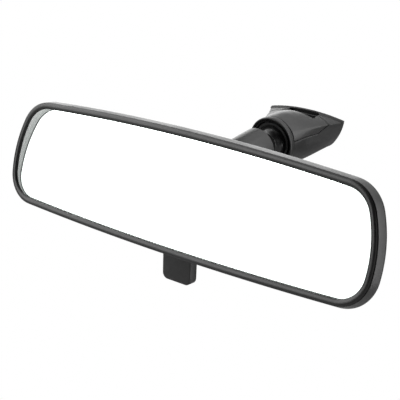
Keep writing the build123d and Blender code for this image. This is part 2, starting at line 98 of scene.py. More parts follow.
# ---------------------------------------------------------------- mesh tools
def mesh_piece(name, points, faces, place=None):
    """New object from points in millimetres and faces."""
    mesh = bpy.data.meshes.new(name)
    mesh.from_pydata([tuple(p) for p in points], [], faces)
    mesh.validate()
    obj = bpy.data.objects.new(name, mesh)
    bpy.context.scene.collection.objects.link(obj)
    if place is not None:
        obj.data.transform(place)
    return obj


def settle(obj):
    """Applies the object's modifiers to its mesh."""
    bpy.context.view_layer.update()
    graph = bpy.context.evaluated_depsgraph_get()
    made = bpy.data.meshes.new_from_object(obj.evaluated_get(graph))
    made.name = obj.name
    obj.modifiers.clear()
    obj.data = made
    return obj


def combine(obj, tool, operation):
    """Boolean of two closed meshes; the tool is used up."""
    step = obj.modifiers.new("combine", "BOOLEAN")
    step.operation = operation
    step.object = tool
    step.solver = "EXACT"
    settle(obj)
    bpy.data.objects.remove(tool)
    return obj


def cut(obj, tool):
    """Takes the tool's shape out of the object."""
    return combine(obj, tool, "DIFFERENCE")


def join(obj, tool):
    """Adds the tool's shape to the object."""
    return combine(obj, tool, "UNION")


def common(obj, tool):
    """Keeps only what lies inside the tool."""
    return combine(obj, tool, "INTERSECT")


def shade(obj, angle=35):
    """Smooth shading, with sharp edges where faces meet at more than this angle."""
    for face in obj.data.polygons:
        face.use_smooth = True
    obj.data.set_sharp_from_angle(angle=radians(angle))
    return obj


def soften(obj, voxel, rounds, factor=0.5):
    """Remeshes a solid evenly and rounds its edges, as a moulding's are."""
    step = obj.modifiers.new("remesh", "REMESH")
    step.mode = "VOXEL"
    step.voxel_size = voxel
    step.adaptivity = 0.0
    step = obj.modifiers.new("round", "SMOOTH")
    step.factor = factor
    step.iterations = rounds
    settle(obj)
    for face in obj.data.polygons:
        face.use_smooth = True
    return obj


def rounded(corners, steps=6):
    """Polyline through (x, y, radius) corners, each rounded by its radius."""
    made = []
    count = len(corners)
    for i, (x, y, radius) in enumerate(corners):
        here = np.array((x, y), float)
        if radius <= 0 or (i in (0, count - 1)):
            made.append(tuple(here))
            continue
        back = np.array(corners[i - 1][:2], float) - here
        on = np.array(corners[i + 1][:2], float) - here
        back_length, on_length = np.linalg.norm(back), np.linalg.norm(on)
        back, on = back / back_length, on / on_length
        half = acos(max(-1, min(1, float(back @ on)))) / 2
        reach = min(radius / tan(half), back_length * 0.49, on_length * 0.49)
        radius = reach * tan(half)
        middle = here + (back + on) / np.linalg.norm(back + on) * radius / sin(half)
        start, end = here + back * reach - middle, here + on * reach - middle
        sweep = pi - 2 * half
        turn = np.sign(start[0] * end[1] - start[1] * end[0])
        for k in range(steps + 1):
            a = turn * sweep * k / steps
            made.append((
                middle[0] + start[0] * cos(a) - start[1] * sin(a),
                middle[1] + start[0] * sin(a) + start[1] * cos(a),
            ))
    return made


def ringed(rings, closed=True):
    """Faces joining rings of equal point counts; closed rings of rings meet again at the start."""
    count, size = len(rings), len(rings[0])
    faces = []
    for i in range(count if closed else count - 1):
        a, b = i * size, ((i + 1) % count) * size
        for j in range(size):
            k = (j + 1) % size
            faces.append((a + j, a + k, b + k, b + j))
    return faces


def lathe(name, profile, segments=96, closed=True, place=ARM):
    """Solid turned about Y from (radius, along) points; points on the axis close its ends."""
    rings = []
    for radius, along in profile:
        ring = [(radius * sin(2 * pi * k / segments), along, radius * cos(2 * pi * k / segments))
                for k in range(segments)]
        rings.append(ring)
    points = [p for ring in rings for p in ring]
    obj = mesh_piece(name, points, ringed(rings, closed))
    merge(obj)
    if place is not None:
        obj.data.transform(place)
    return obj


def merge(obj, distance=1e-4):
    """Joins points that coincide, and turns all faces outwards."""
    work = bmesh.new()
    work.from_mesh(obj.data)
    bmesh.ops.remove_doubles(work, verts=work.verts, dist=distance)
    bmesh.ops.dissolve_degenerate(work, edges=work.edges, dist=distance)
    bmesh.ops.recalc_face_normals(work, faces=work.faces)
    work.to_mesh(obj.data)
    work.free()
    return obj


def block(name, low, high, place=None):
    """Plain box used as a cutting tool or as a rib."""
    (x0, y0, z0), (x1, y1, z1) = low, high
    points = [(x, y, z) for x in (x0, x1) for y in (y0, y1) for z in (z0, z1)]
    faces = [(0, 1, 3, 2), (4, 6, 7, 5), (0, 4, 5, 1), (2, 3, 7, 6), (0, 2, 6, 4), (1, 5, 7, 3)]
    return mesh_piece(name, points, faces, place)


# ---------------------------------------------------------------- outline of the head
def arc_radius(half_chord, sagitta):
    """Radius of the arc over this half chord that rises by the sagitta."""
    return (half_chord ** 2 + sagitta ** 2) / (2 * sagitta)


def circles_meet(a, ra, b, rb):
    """The meeting point of two circles that lies furthest to the right."""
    (ax, ay), (bx, by) = a, b
    apart = hypot(bx - ax, by - ay)
    along = (ra ** 2 - rb ** 2 + apart ** 2) / (2 * apart)
    off = sqrt(ra ** 2 - along ** 2)
    ux, uy = (bx - ax) / apart, (by - ay) / apart
    found = [(ax + ux * along - uy * off * s, ay + uy * along + ux * off * s) for s in (-1, 1)]
    return max(found)


def outline():
    """Points of the rim's outline and their outward directions, anticlockwise from the bottom middle."""
    top_radius = arc_radius(HALF_WIDTH, TOP_SAGITTA)
    low_radius = arc_radius(HALF_WIDTH, BOTTOM_SAGITTA)
    side_radius = arc_radius(HALF_HEIGHT, SIDE_SAGITTA)
    top = (0.0, HALF_HEIGHT - top_radius)
    low = (0.0, -HALF_HEIGHT + low_radius)
    side = (HALF_WIDTH - side_radius, SIDE_CENTRE_Z)
    upper = circles_meet(top, top_radius - TOP_CORNER, side, side_radius - TOP_CORNER)
    lower = circles_meet(low, low_radius - BOTTOM_CORNER, side, side_radius - BOTTOM_CORNER)

    def angle(a, b):
        return atan2(b[1] - a[1], b[0] - a[0])

    arcs = [
        (low, low_radius, -pi / 2, angle(low, lower), 56),
        (lower, BOTTOM_CORNER, angle(low, lower), angle(side, lower), 22),
        (side, side_radius, angle(side, lower), angle(side, upper), 24),
        (upper, TOP_CORNER, angle(side, upper), angle(top, upper), 22),
        (top, top_radius, angle(top, upper), pi / 2, 56),
    ]
    points, normals = [], []
    for (cx, cz), radius, start, end, count in arcs:
        for k in range(count):
            a = start + (end - start) * k / count
            points.append((cx + radius * cos(a), cz + radius * sin(a)))
            normals.append((cos(a), sin(a)))
    points.append((0.0, HALF_HEIGHT))
    normals.append((0.0, 1.0))
    left = [(-x, z) for x, z in points[-2:0:-1]]
    left_normals = [(-x, z) for x, z in normals[-2:0:-1]]
    return np.array(points + left), np.array(normals + left_normals)


RIM, RIM_OUT = outline()


def rim_ring(outward, depth):
    """Ring of points: the rim's outline moved outwards, at this depth."""
    flat = RIM + RIM_OUT * outward
    return [(x, depth, z) for x, z in flat]


def sweep_rim(name, section):
    """Closed (outward, depth) section carried round the rim."""
    rings = [rim_ring(o, d) for o, d in section]
    points = [p for ring in rings for p in ring]
    obj = merge(mesh_piece(name, points, ringed(rings)))
    obj.data.transform(HEAD)
    return obj


def bowed(x, depth, start):
    """Depth on the case's back, which bows along its length; in front of start nothing changes."""
    if depth <= start:
        return depth
    bow = arc_radius(HALF_WIDTH, CASE_DEPTH - CASE_END_DEPTH)
    limit = CASE_DEPTH - bow + sqrt(bow ** 2 - min(abs(x), HALF_WIDTH) ** 2)
    return start + (depth - start) * (limit - start) / (CASE_DEPTH - start)


def shell_rings(profile, spine_from):
    """Rings for an (outward, depth) profile; past spine_from the rings close on the head's middle line."""
    start = RIM + RIM_OUT * spine_from
    reach = HALF_WIDTH - HALF_HEIGHT
    spine = np.stack([np.clip(start[:, 0], -reach, reach), np.full(len(start), SPINE_Z)], 1)
    rings = []
    for outward, depth in profile:
        if outward >= spine_from:
            sag = CASE_SAG * min(1.0, max(0.0, depth - 1.0) / (CASE_BULGE_DEPTH - 1.0))
            flat = RIM + RIM_OUT * (outward + sag * np.clip(-RIM_OUT[:, 1:], 0, 1))
            ring = [(x, depth, z) for x, z in flat]
        else:
            share = min(1.0, (spine_from - outward) / (HALF_HEIGHT + spine_from))
            flat = start + (spine - start) * share
            ring = [(x, depth, z) for x, z in flat]
        rings.append([(x, bowed(x, y, CASE_BULGE_DEPTH), z) for x, y, z in ring])
    return rings


# ---------------------------------------------------------------- pieces of the head
def make_bezel():
    """Face ring: a convex face with a soft inner bevel, a lip over the glass and a spigot in the case."""
    crest = RIM_WIDTH / 2 + 0.12
    half = RIM_WIDTH / 2 - 0.02
    radius = (half ** 2 + RIM_RISE ** 2) / (2 * RIM_RISE)
    swing = asin(half / radius)
    steps = 12
    face = []
    for k in range(steps + 1):
        a = swing - 2 * swing * k / steps
        face.append((-crest + radius * sin(a), radius - RIM_FRONT - radius * cos(a), 0))
    lip_back = GLASS_FRONT + 0.02
    section = [(-0.85, 1.0, 0), (-0.42, 0.75, 0.2)] + face + [
        (-RIM_WIDTH - RIM_LIP, GLASS_FRONT - 0.06, 0.12), (-RIM_WIDTH - 0.30, lip_back, 0.05),
        (SPIGOT_INNER, lip_back, 0), (SPIGOT_INNER, SPIGOT_DEPTH, 0.2),
        (SPIGOT_OUTER, SPIGOT_DEPTH, 0.2), (SPIGOT_OUTER, 0.98, 0),
    ]
    obj = sweep_rim("rim_bezel", rounded(section, 4))
    return shade(obj, 40)


def opening_tool(name):
    """Round cutter along Y whose rim flares, so that the hole it leaves has a rolled edge."""
    start, end, steps = 18, 45, 6
    radius, flare = OPENING_RADIUS, OPENING_FLARE
    profile = [(0, start), (radius, start), (radius, CASE_DEPTH - flare)]
    for k in range(1, steps + 1):
        a = pi / 2 * k / steps
        profile.append((radius + flare * (1 - cos(a)), CASE_DEPTH - flare + flare * sin(a)))
    wide = radius + flare + 0.3
    profile += [(wide, CASE_DEPTH + 0.05), (wide, end), (0, end)]
    tool = lathe(name, profile, closed=False, place=None)
    tool.data.transform(Matrix.Translation((0, 0, HEAD_BALL_Z + OPENING_LIFT)))
    return tool


def make_case():
    """Shell behind the bezel: bulged side wall, rounded back, arm opening and lever slot."""
    outer = rounded([
        (-0.9, 1.45, 0), (0.0, 1.3, 0.25), (CASE_BULGE, CASE_BULGE_DEPTH, 5.0),
        (-6.5, CASE_DEPTH - 0.2, 13.5), (-20.0, CASE_DEPTH, 60), (-HALF_HEIGHT, CASE_DEPTH, 0),
    ], 12)
    side_to, back_from = -18, 12
    inner = []
    for outward, depth in outer[2:]:
        inward = outward - CASE_WALL if outward > side_to else outward
        inner.append((inward, depth - CASE_WALL if depth > back_from else depth))
    rings = shell_rings(outer, SPINE_FROM) + shell_rings(inner, SPINE_FROM)[::-1]
    points = [p for ring in rings for p in ring]
    shell = merge(mesh_piece("case_shell", points, ringed(rings)))
    cut(shell, opening_tool("tool"))
    slot_low = (-SLOT_HALF_WIDTH, SLOT_FRONT, -HALF_HEIGHT - 6)
    slot = block("tool", slot_low, (SLOT_HALF_WIDTH, SLOT_BACK, -HALF_HEIGHT + 5.5))
    step = slot.modifiers.new("bevel", "BEVEL")
    step.width = 1.6
    step.segments = 5
    settle(slot)
    cut(shell, slot)
    shell.data.transform(HEAD)
    return shade(shell, 32)


def wedge_depth(z, start):
    """Depth of the glass's sloping back at this height, plus start."""
    middle = GLASS_FRONT + (GLASS_THIN + GLASS_THICK) / 2
    return middle + (GLASS_THICK - GLASS_THIN) * z / (2 * HALF_HEIGHT) + start


def plate_ring(inset, share):
    """Flat ring of the outline moved inwards, drawn this share of the way to the head's middle line."""
    flat = RIM - RIM_OUT * inset
    reach = HALF_WIDTH - HALF_HEIGHT
    spine = np.stack([np.clip(flat[:, 0], -reach, reach), np.full(len(flat), -1.0)], 1)
    return flat + (spine - flat) * share


def make_glass():
    """Wedge glass with a ground edge and a small arris along its front."""
    edge = plate_ring(GLASS_INSET, 0.0)
    rings = []
    for share in (1.0, 0.6, 0.3, 0.0):
        rings.append([(x, GLASS_FRONT, z) for x, z in plate_ring(GLASS_INSET + GLASS_ARRIS, share)])
    rings.append([(x, GLASS_FRONT + GLASS_ARRIS, z) for x, z in edge])
    ground_from = len(rings) - 2
    rings.append([(x, wedge_depth(z, -BACK_ARRIS), z) for x, z in edge])
    ground_to = len(rings)
    for share in (0.0, 0.3, 0.6, 1.0):
        rings.append([(x, wedge_depth(z, 0.0), z) for x, z in plate_ring(GLASS_INSET + BACK_ARRIS, share)])
    points = [p for ring in rings for p in ring]
    faces = ringed(rings, closed=False)
    obj = mesh_piece("mirror_glass", points, faces)
    size = len(rings[0])
    for face in obj.data.polygons:
        ring = face.index // size
        face.material_index = 1 if ground_from <= ring < ground_to else 0
    obj = merge(obj)
    obj.data.transform(HEAD)
    return obj


def layer(name, inset, front, back):
    """Thin plate along the glass's sloping back, from front to back behind it."""
    rings = []
    for start, shares in ((front, (1.0, 0.5, 0.0)), (back, (0.0, 0.5, 1.0))):
        for share in shares:
            rings.append([(x, wedge_depth(z, start), z) for x, z in plate_ring(inset, share)])
    points = [p for ring in rings for p in ring]
    obj = merge(mesh_piece(name, points, ringed(rings, closed=False)))
    obj.data.transform(HEAD)
    return obj


def make_silver():
    """Flat reflecting layer on the glass."""
    return layer("mirror_silver", GLASS_INSET + 0.06, SILVER_GAP, SILVER_BACK)


def make_tape():
    """Thin film on the silver's back."""
    return layer("backing_film", GLASS_INSET + 1.0, FILM_FRONT, FILM_BACK)


# ---------------------------------------------------------------- lever
TAB_WIDTH = 19.4
TAB_THICKNESS = 5.7
TAB_BOTTOM_Z = -47.0
LEVER_Y = 12.6
LEVER_Z = -23.7
LEVER_TILT = radians(12.6)
TAB_CORNER = 3.4
TAB_DRAFT = 0.25
HUB_RADIUS = 3.0
HUB_HALF_LENGTH = 10.6
AXLE_HOLE = 1.3
CRANK_RADIUS = 5.3
CRANK_LEAN = radians(18)
CRANK_WEB_X = 5.4
CRANK_HALF = 1.2


def bevelled(obj, width, segments=4, angle=30):
    """Bevels the edges where faces meet at more than this angle."""
    step = obj.modifiers.new("bevel", "BEVEL")
    step.width = width
    step.segments = segments
    step.limit_method = "ANGLE"
    step.angle_limit = radians(angle)
    return settle(obj)


def prism(name, outline_xz, y0, y1):
    """Solid of a flat outline in X and Z between two depths."""
    count = len(outline_xz)
    points = [(x, y0, z) for x, z in outline_xz] + [(x, y1, z) for x, z in outline_xz]
    faces = [tuple(range(count)), tuple(range(2 * count - 1, count - 1, -1))]
    faces += [(i, count + i, count + (i + 1) % count, (i + 1) % count) for i in range(count)]
    return merge(mesh_piece(name, points, faces))


def cross_pin(name, radius, half_length, y, z, segments=48):
    """Rod along X with softly broken ends."""
    broken = min(0.25, radius / 4)
    profile = [(0, -half_length), (radius - broken, -half_length), (radius, -half_length + broken),
               (radius, half_length - broken), (radius - broken, half_length), (0, half_length)]
    rod = lathe(name, profile, segments, closed=False, place=None)
    rod.data.transform(Matrix.Translation((0, y, z)) @ Matrix.Rotation(-pi / 2, 4, "Z"))
    return rod


def make_lever():
    """Day/night lever: rounded tab, hub on its axle, and the crank above."""
    length = (LEVER_Z - TAB_BOTTOM_Z) / cos(LEVER_TILT) + 0.5
    half = TAB_WIDTH / 2
    low = rounded([
        (-half, 0, 0), (-half + TAB_DRAFT, -length, TAB_CORNER),
        (half - TAB_DRAFT, -length, TAB_CORNER), (half, 0, 0),
    ], 10)
    tab = prism("lever_tab", low, -TAB_THICKNESS / 2, TAB_THICKNESS / 2)
    tab = bevelled(tab, 0.7, 4, 40)
    tab.data.transform(Matrix.Rotation(LEVER_TILT, 4, "X"))
    join(tab, cross_pin("tool", HUB_RADIUS, HUB_HALF_LENGTH, 0, 0))
    crank = Matrix.Rotation(CRANK_LEAN, 4, "X")
    for side in (-1, 1):
        x = side * CRANK_WEB_X
        web_high = (x + CRANK_HALF, CRANK_HALF, CRANK_RADIUS + 1.1)
        web = block("tool", (x - CRANK_HALF, -CRANK_HALF, 0), web_high, crank)
        join(tab, bevelled(web, 0.3, 2))
    pin_y, pin_z = -CRANK_RADIUS * sin(CRANK_LEAN), CRANK_RADIUS * cos(CRANK_LEAN)
    join(tab, cross_pin("tool", CRANK_HALF, CRANK_WEB_X + CRANK_HALF, pin_y, pin_z))
    cut(tab, cross_pin("tool", AXLE_HOLE, 20, 0, 0))
    tab.data.transform(HEAD @ Matrix.Translation((0, LEVER_Y, LEVER_Z)))
    return shade(tab, 35)


# ---------------------------------------------------------------- arm
SLEEVE_REAR_AT = -11.8
SLEEVE_FRONT_AT = -46.5
SLEEVE_BORE = 6.05
ROD_RADIUS = 6.0
NECK_RADIUS = 4.5
BASE_BALL_AT = 4.0
BASE_BALL_RADIUS = 9.5
HEAD_BALL_AT = -59.77
HEAD_BALL_RADIUS = 7.5


def make_sleeve():
    """Tapered sleeve with a soft front end and a crisp rear lip round a dished recess."""
    profile = rounded([
        (SLEEVE_BORE, SLEEVE_FRONT_AT, 0), (8.6, SLEEVE_FRONT_AT, 2.4), (11.45, SLEEVE_REAR_AT, 0.8),
        (10.2, SLEEVE_REAR_AT, 0.5), (9.9, SLEEVE_REAR_AT - 1.3, 0.6), (6.9, SLEEVE_REAR_AT - 1.5, 0.2),
        (6.7, SLEEVE_REAR_AT - 3.0, 0.2), (SLEEVE_BORE, SLEEVE_REAR_AT - 3.2, 0),
        (SLEEVE_BORE, SLEEVE_FRONT_AT + 1, 0),
    ], 8)
    return shade(lathe("arm_sleeve", profile, 128), 40)


def ball_arc(radius, at, start, end, steps):
    """Profile points on a ball round the arm's axis; angles in degrees from its front pole."""
    made = []
    for k in range(steps + 1):
        a = radians(start + (end - start) * k / steps)
        made.append((max(0.0, radius * sin(a)), at - radius * cos(a)))
    return made


def make_rod():
    """Cast rod: head ball, neck, the stretch inside the sleeve, a flared collar and the rear ball."""
    profile = ball_arc(HEAD_BALL_RADIUS, HEAD_BALL_AT, 0, 142, 28)
    profile += rounded([
        (4.62, HEAD_BALL_AT + 5.9, 0), (NECK_RADIUS, HEAD_BALL_AT + 8.0, 3),
        (NECK_RADIUS, SLEEVE_FRONT_AT - 0.3, 0.8), (ROD_RADIUS, SLEEVE_FRONT_AT + 0.8, 0.4),
        (ROD_RADIUS, SLEEVE_REAR_AT - 1.6, 0.3), (6.6, SLEEVE_REAR_AT - 0.9, 0.5),
        (5.9, BASE_BALL_AT - 7.8, 3),
    ], 5)
    profile += ball_arc(BASE_BALL_RADIUS, BASE_BALL_AT, 38.5, 180, 34)
    return shade(lathe("arm_rod", profile, closed=False), 50)


# ---------------------------------------------------------------- mount
BARREL_RADIUS = 14.2
BORE_RADIUS = 12.2
LIP_LENGTH = 2.6
PAD_LEAN = radians(27.5)
PAD_ORIGIN = (0.0, 40.412, -1.523)
PLATE = 2.2
SEAM_HEIGHT = 2.2
BUTTON_WIDTH = 17.6
BUTTON_LENGTH = 18.6
BUTTON_DEPTH = 6.5
BUTTON_RISE = 1.2
COVER_FOOT = 22.0
COVER_LEAN = 0.85
RECESS_FLOOR = 7.7
RECESS_FRONT = 9.8
RECESS_BACK = 1.2
FORM_STEPS = 22
CORNER_ANGLE = 58
# pad's frame: X, up its slope, and depth behind its face
PAD = Matrix((
    (1, 0, 0, PAD_ORIGIN[0]),
    (0, -sin(PAD_LEAN), -cos(PAD_LEAN), PAD_ORIGIN[1]),
    (0, cos(PAD_LEAN), -sin(PAD_LEAN), PAD_ORIGIN[2]),
    (0, 0, 0, 1),
))


def arc_through(a, b, c, steps):
    """Points from a to c, without c, on the circle through a, b and c."""
    ax, ay = a
    bx, by = b[0] - ax, b[1] - ay
    cx, cy = c[0] - ax, c[1] - ay
    d = 2 * (bx * cy - by * cx)
    ux = (cy * (bx * bx + by * by) - by * (cx * cx + cy * cy)) / d
    uy = (bx * (cx * cx + cy * cy) - cx * (bx * bx + by * by)) / d
    radius = hypot(ux, uy)
    start = atan2(-uy, -ux)
    end = atan2(cy - uy, cx - ux)
    mid = atan2(by - uy, bx - ux)
    turn = (end - start) % (2 * pi)
    if (mid - start) % (2 * pi) > turn:
        turn -= 2 * pi
    made = []
    for k in range(steps):
        angle = start + turn * k / steps
        made.append((ax + ux + radius * cos(angle), ay + uy + radius * sin(angle)))
    return made


def four_arcs(corner, top, side, foot, bottom, steps=24):
    """Closed symmetric outline of four arcs, from its left corner over the top."""
    def flip(p):
        return (-p[0], p[1])

    points = arc_through(flip(corner), (0, top), corner, 2 * steps)
    points += arc_through(corner, side, foot, steps)
    points += arc_through(foot, (0, bottom), flip(foot), 2 * steps)
    points += arc_through(flip(foot), flip(side), flip(corner), steps)
    return points


def barrel_outline(radius):
    """Circle with its points spaced as the pad's are, so that the two can be joined."""
    def at(turn):
        return (radius * sin(radians(turn)), radius * cos(radians(turn)))

    return four_arcs(at(CORNER_ANGLE), radius, at(92), at(125), -radius)


def pad_outline(inset):
    """Shield shape of the windscreen pad, moved inwards."""
    corner = (25.5 - 1.2 * inset, 11.0 - 0.8 * inset)
    side = (20.8 - inset, 1.8 + 0.2 * inset)
    foot = (14.3 - 0.8 * inset, -7.2 + 0.5 * inset)
    return four_arcs(corner, 14.7 - inset, side, foot, -14.2 + inset)


def capped(name, rings):
    """Closed solid from a stack of rings."""
    points = [p for ring in rings for p in ring]
    size = len(rings[0])
    faces = ringed(rings, closed=False)
    faces += [tuple(range(size)), tuple(range(len(points) - 1, len(points) - size - 1, -1))]
    return merge(mesh_piece(name, points, faces))


def pad_ring(flat, depth):
    """Ring in the pad's plane, this deep behind its face, in the arm's frame."""
    return [tuple(PAD @ Vector((x, y, depth))) for x, y in flat]


def mount_form(name):
    """Outer form: the barrel, a flare that opens towards the windscreen, and the pad's plate.

    The flare's corners open evenly along it. Elsewhere the barrel stays round for its first third and
    opens late, and its underside has a soft belly.
    """
    barrel = barrel_outline(BARREL_RADIUS)
    wide = pad_ring(pad_outline(0.2), PLATE)
    rings = []
    for k in range(FORM_STEPS + 1):
        t = k / FORM_STEPS
        late = max(0.0, t - 0.33) / 0.67
        corner_share = 0.75 * t + 0.25 * t ** 4
        other_share = 0.35 * late + 0.65 * late ** 2.2
        ring = []
        for (bx, bz), (px, pu, pz) in zip(barrel, wide):
            turn = abs(degrees(atan2(bx, bz)))
            corner = exp(-((turn - CORNER_ANGLE) / 24) ** 2)
            low = min(1.0, max(0.0, turn - 95) / 45)
            belly = 1 + 0.125 * low * sin(pi * min(1.0, 1.02 * t) ** 0.75)
            share = corner * corner_share + (1 - corner) * other_share
            u = LIP_LENGTH + (pu - LIP_LENGTH) * t
            ring.append((bx * belly + (px - bx) * share, u, bz * belly + (pz - bz) * share))
        rings.append(ring)
    rings.append(pad_ring(pad_outline(0.0), PLATE - 0.3))
    rings.append(pad_ring(pad_outline(0.0), 0.25))
    rings.append(pad_ring(pad_outline(0.25), 0.0))
    return capped(name, rings)


def pad_block(name, low, high):
    """Block in the pad's frame: X, up the slope, and depth behind the face."""
    obj = block(name, low, high)
    obj.data.transform(PAD)
    return merge(obj)


def cover_zone(name, gap):
    """Region of the upper cover: above the seam, behind the lip, ahead of a plane that leans back."""
    rise, wide = 20.0, 40.0
    low = SEAM_HEIGHT + gap
    start = LIP_LENGTH + 0.3 + gap
    foot = COVER_FOOT - gap * 1.3
    side = [(start, low), (foot, low), (foot + COVER_LEAN * rise, low + rise), (start, low + rise)]
    rings = [[(x, u, w) for u, w in side] for x in (-wide, wide)]
    zone = capped(name, rings)
    return common(zone, pad_block("tool", (-60, -60, 1.2 + gap), (60, 60, 70)))


def bore(name):
    """Stepped hollow of the barrel: the seats' bore and a narrower one for the spring."""
    narrow, step, end = 8.7, 17.8, 24.6
    profile = [(0, -4), (BORE_RADIUS, -4), (BORE_RADIUS, step - 0.3), (narrow, step), (narrow, end), (0, end)]
    return lathe(name, profile, closed=False, place=None)


def recess(name):
    """Gap behind the barrel's upper end, in front of the plate."""
    flat = [(-10.0, RECESS_BACK), (10.0, RECESS_BACK), (12.6, RECESS_FRONT), (-12.6, RECESS_FRONT)]
    rings = []
    for w in (RECESS_FLOOR, RECESS_FLOOR + 40.0):
        face = PAD_ORIGIN[1] - tan(PAD_LEAN) * (w - PAD_ORIGIN[2])
        rings.append([(x, face - depth / cos(PAD_LEAN), w) for x, depth in flat])
    return bevelled(capped(name, rings), 0.8, 3, 40)


def make_mount_base():
    """Lip ring, lower half of the barrel, and the windscreen pad with the button's pocket."""
    base = mount_form("mount_base_shell")
    cut(base, recess("tool"))
    cut(base, bore("tool"))
    cut(base, cover_zone("tool", -0.12))
    lip_outer, lip_front, lip_back = 14.3, -0.7, LIP_LENGTH + 0.3
    wall = rounded([
        (BORE_RADIUS, lip_back, 0), (BORE_RADIUS, 1.0, 0), (12.3, 2.0, 0.3), (13.4, lip_front, 0.3),
        (lip_outer, lip_front, 0.9), (lip_outer, LIP_LENGTH, 0.3), (14.0, lip_back, 0),
    ], 6)
    join(base, lathe("tool", wall, place=None))
    half_width, half_length = BUTTON_WIDTH / 2, BUTTON_LENGTH / 2
    pocket_low = (-half_width, BUTTON_RISE - half_length, -3)
    cut(base, pad_block("tool", pocket_low, (half_width, BUTTON_RISE + half_length, BUTTON_DEPTH)))
    soften(base, 0.3, 4)
    base.data.transform(ARM)
    return base


def make_mount_cover():
    """Upper half shell of the barrel."""
    cover = mount_form("mount_cover_shell")
    cut(cover, recess("tool"))
    cut(cover, bore("tool"))
    common(cover, cover_zone("tool", 0.12))
    soften(cover, 0.28, 4)
    cover.data.transform(ARM)
    return cover


# ---------------------------------------------------------------- materials
def nodes_of(name, roughness, metallic=0.0):
    """New material with its node tree and its shader."""
    made = bpy.data.materials.new(name)
    made.use_nodes = True
    shader = made.node_tree.nodes["Principled BSDF"]
    shader.inputs["Roughness"].default_value = roughness
    shader.inputs["Metallic"].default_value = metallic
    return made, made.node_tree, shader


def noise(tree, scale, detail=3.0, rough=0.5):
    """Noise over the object's own coordinates, in metres."""
    place = tree.nodes.new("ShaderNodeTexCoord")
    made = tree.nodes.new("ShaderNodeTexNoise")
    made.inputs["Scale"].default_value = scale
    made.inputs["Detail"].default_value = detail
    made.inputs["Roughness"].default_value = rough
    tree.links.new(place.outputs["Object"], made.inputs["Vector"])
    return made.outputs["Fac"]


def spread(tree, source, low, high, start=0.3, end=0.7):
    """Maps a 0 to 1 pattern onto a range."""
    made = tree.nodes.new("ShaderNodeMapRange")
    made.inputs["From Min"].default_value = start
    made.inputs["From Max"].default_value = end
    made.inputs["To Min"].default_value = low
    made.inputs["To Max"].default_value = high
    tree.links.new(source, made.inputs["Value"])
    return made.outputs["Result"]


def tint(tree, source, dark, light, start=0.3, end=0.7):
    """Colours a pattern between two colours."""
    made = tree.nodes.new("ShaderNodeValToRGB")
    made.color_ramp.elements[0].position = start
    made.color_ramp.elements[1].position = end
    made.color_ramp.elements[0].color = (*dark, 1)
    made.color_ramp.elements[1].color = (*light, 1)
    tree.links.new(source, made.inputs["Fac"])
    return made.outputs["Color"]


def bump(tree, shader, source, strength, distance):
    """Fine relief from a pattern."""
    made = tree.nodes.new("ShaderNodeBump")
    made.inputs["Strength"].default_value = strength
    made.inputs["Distance"].default_value = distance
    tree.links.new(source, made.inputs["Height"])
    tree.links.new(made.outputs["Normal"], shader.inputs["Normal"])


def plastic(name, dark, light, smooth, rough, grain=2600.0, depth=0.00003):
    """Moulded plastic: fine spark-eroded grain, cloudy gloss, and paler edges where hands have rubbed it."""
    made, tree, shader = nodes_of(name, rough)
    cloud = noise(tree, 45.0, 4.0)
    tree.links.new(spread(tree, cloud, smooth, rough), shader.inputs["Roughness"])
    body = tint(tree, noise(tree, 600.0, 2.0), dark, light)
    edge = tree.nodes.new("ShaderNodeNewGeometry").outputs["Pointiness"]
    worn = tree.nodes.new("ShaderNodeMix")
    worn.data_type = "RGBA"
    worn.inputs["B"].default_value = tuple(min(1.0, c * 2.2 + 0.006) for c in light) + (1,)
    tree.links.new(spread(tree, edge, 0.0, 0.55, 0.52, 0.62), worn.inputs["Factor"])
    tree.links.new(body, worn.inputs["A"])
    tree.links.new(worn.outputs["Result"], shader.inputs["Base Color"])
    bump(tree, shader, noise(tree, grain, 2.0, 0.6), 0.35, depth)
    return made


def metal(name, dark, light, smooth, rough, scale=900.0, relief=0.2):
    """Metal with fine uneven polish."""
    made, tree, shader = nodes_of(name, rough, 1.0)
    tree.links.new(tint(tree, noise(tree, scale, 4.0), dark, light), shader.inputs["Base Color"])
    tree.links.new(spread(tree, noise(tree, scale / 3, 3.0), smooth, rough), shader.inputs["Roughness"])
    if relief:
        bump(tree, shader, noise(tree, scale * 3, 2.0), relief, 0.00001)
    return made


def clear_glass():
    """Thin-walled clear face: lets everything through and adds the surface's own gloss."""
    made = bpy.data.materials.new("clear_glass")
    made.use_nodes = True
    tree = made.node_tree
    tree.nodes.clear()
    out = tree.nodes.new("ShaderNodeOutputMaterial")
    through = tree.nodes.new("ShaderNodeBsdfTransparent")
    gloss = tree.nodes.new("ShaderNodeBsdfGlossy")
    mix = tree.nodes.new("ShaderNodeMixShader")
    fresnel = tree.nodes.new("ShaderNodeFresnel")
    fresnel.inputs["IOR"].default_value = 1.5
    body = tint(tree, noise(tree, 30.0), (0.955, 0.975, 0.965), (0.965, 0.98, 0.972))
    tree.links.new(body, through.inputs["Color"])
    tree.links.new(spread(tree, noise(tree, 60.0), 0.01, 0.03), gloss.inputs["Roughness"])
    side = tree.nodes.new("ShaderNodeNewGeometry")
    outside = tree.nodes.new("ShaderNodeMath")
    outside.operation = "SUBTRACT"
    outside.use_clamp = True
    tree.links.new(fresnel.outputs["Fac"], outside.inputs[0])
    tree.links.new(side.outputs["Backfacing"], outside.inputs[1])
    tree.links.new(outside.outputs["Value"], mix.inputs["Fac"])
    tree.links.new(through.outputs["BSDF"], mix.inputs[1])
    tree.links.new(gloss.outputs["BSDF"], mix.inputs[2])
    tree.links.new(mix.outputs["Shader"], out.inputs["Surface"])
    return made


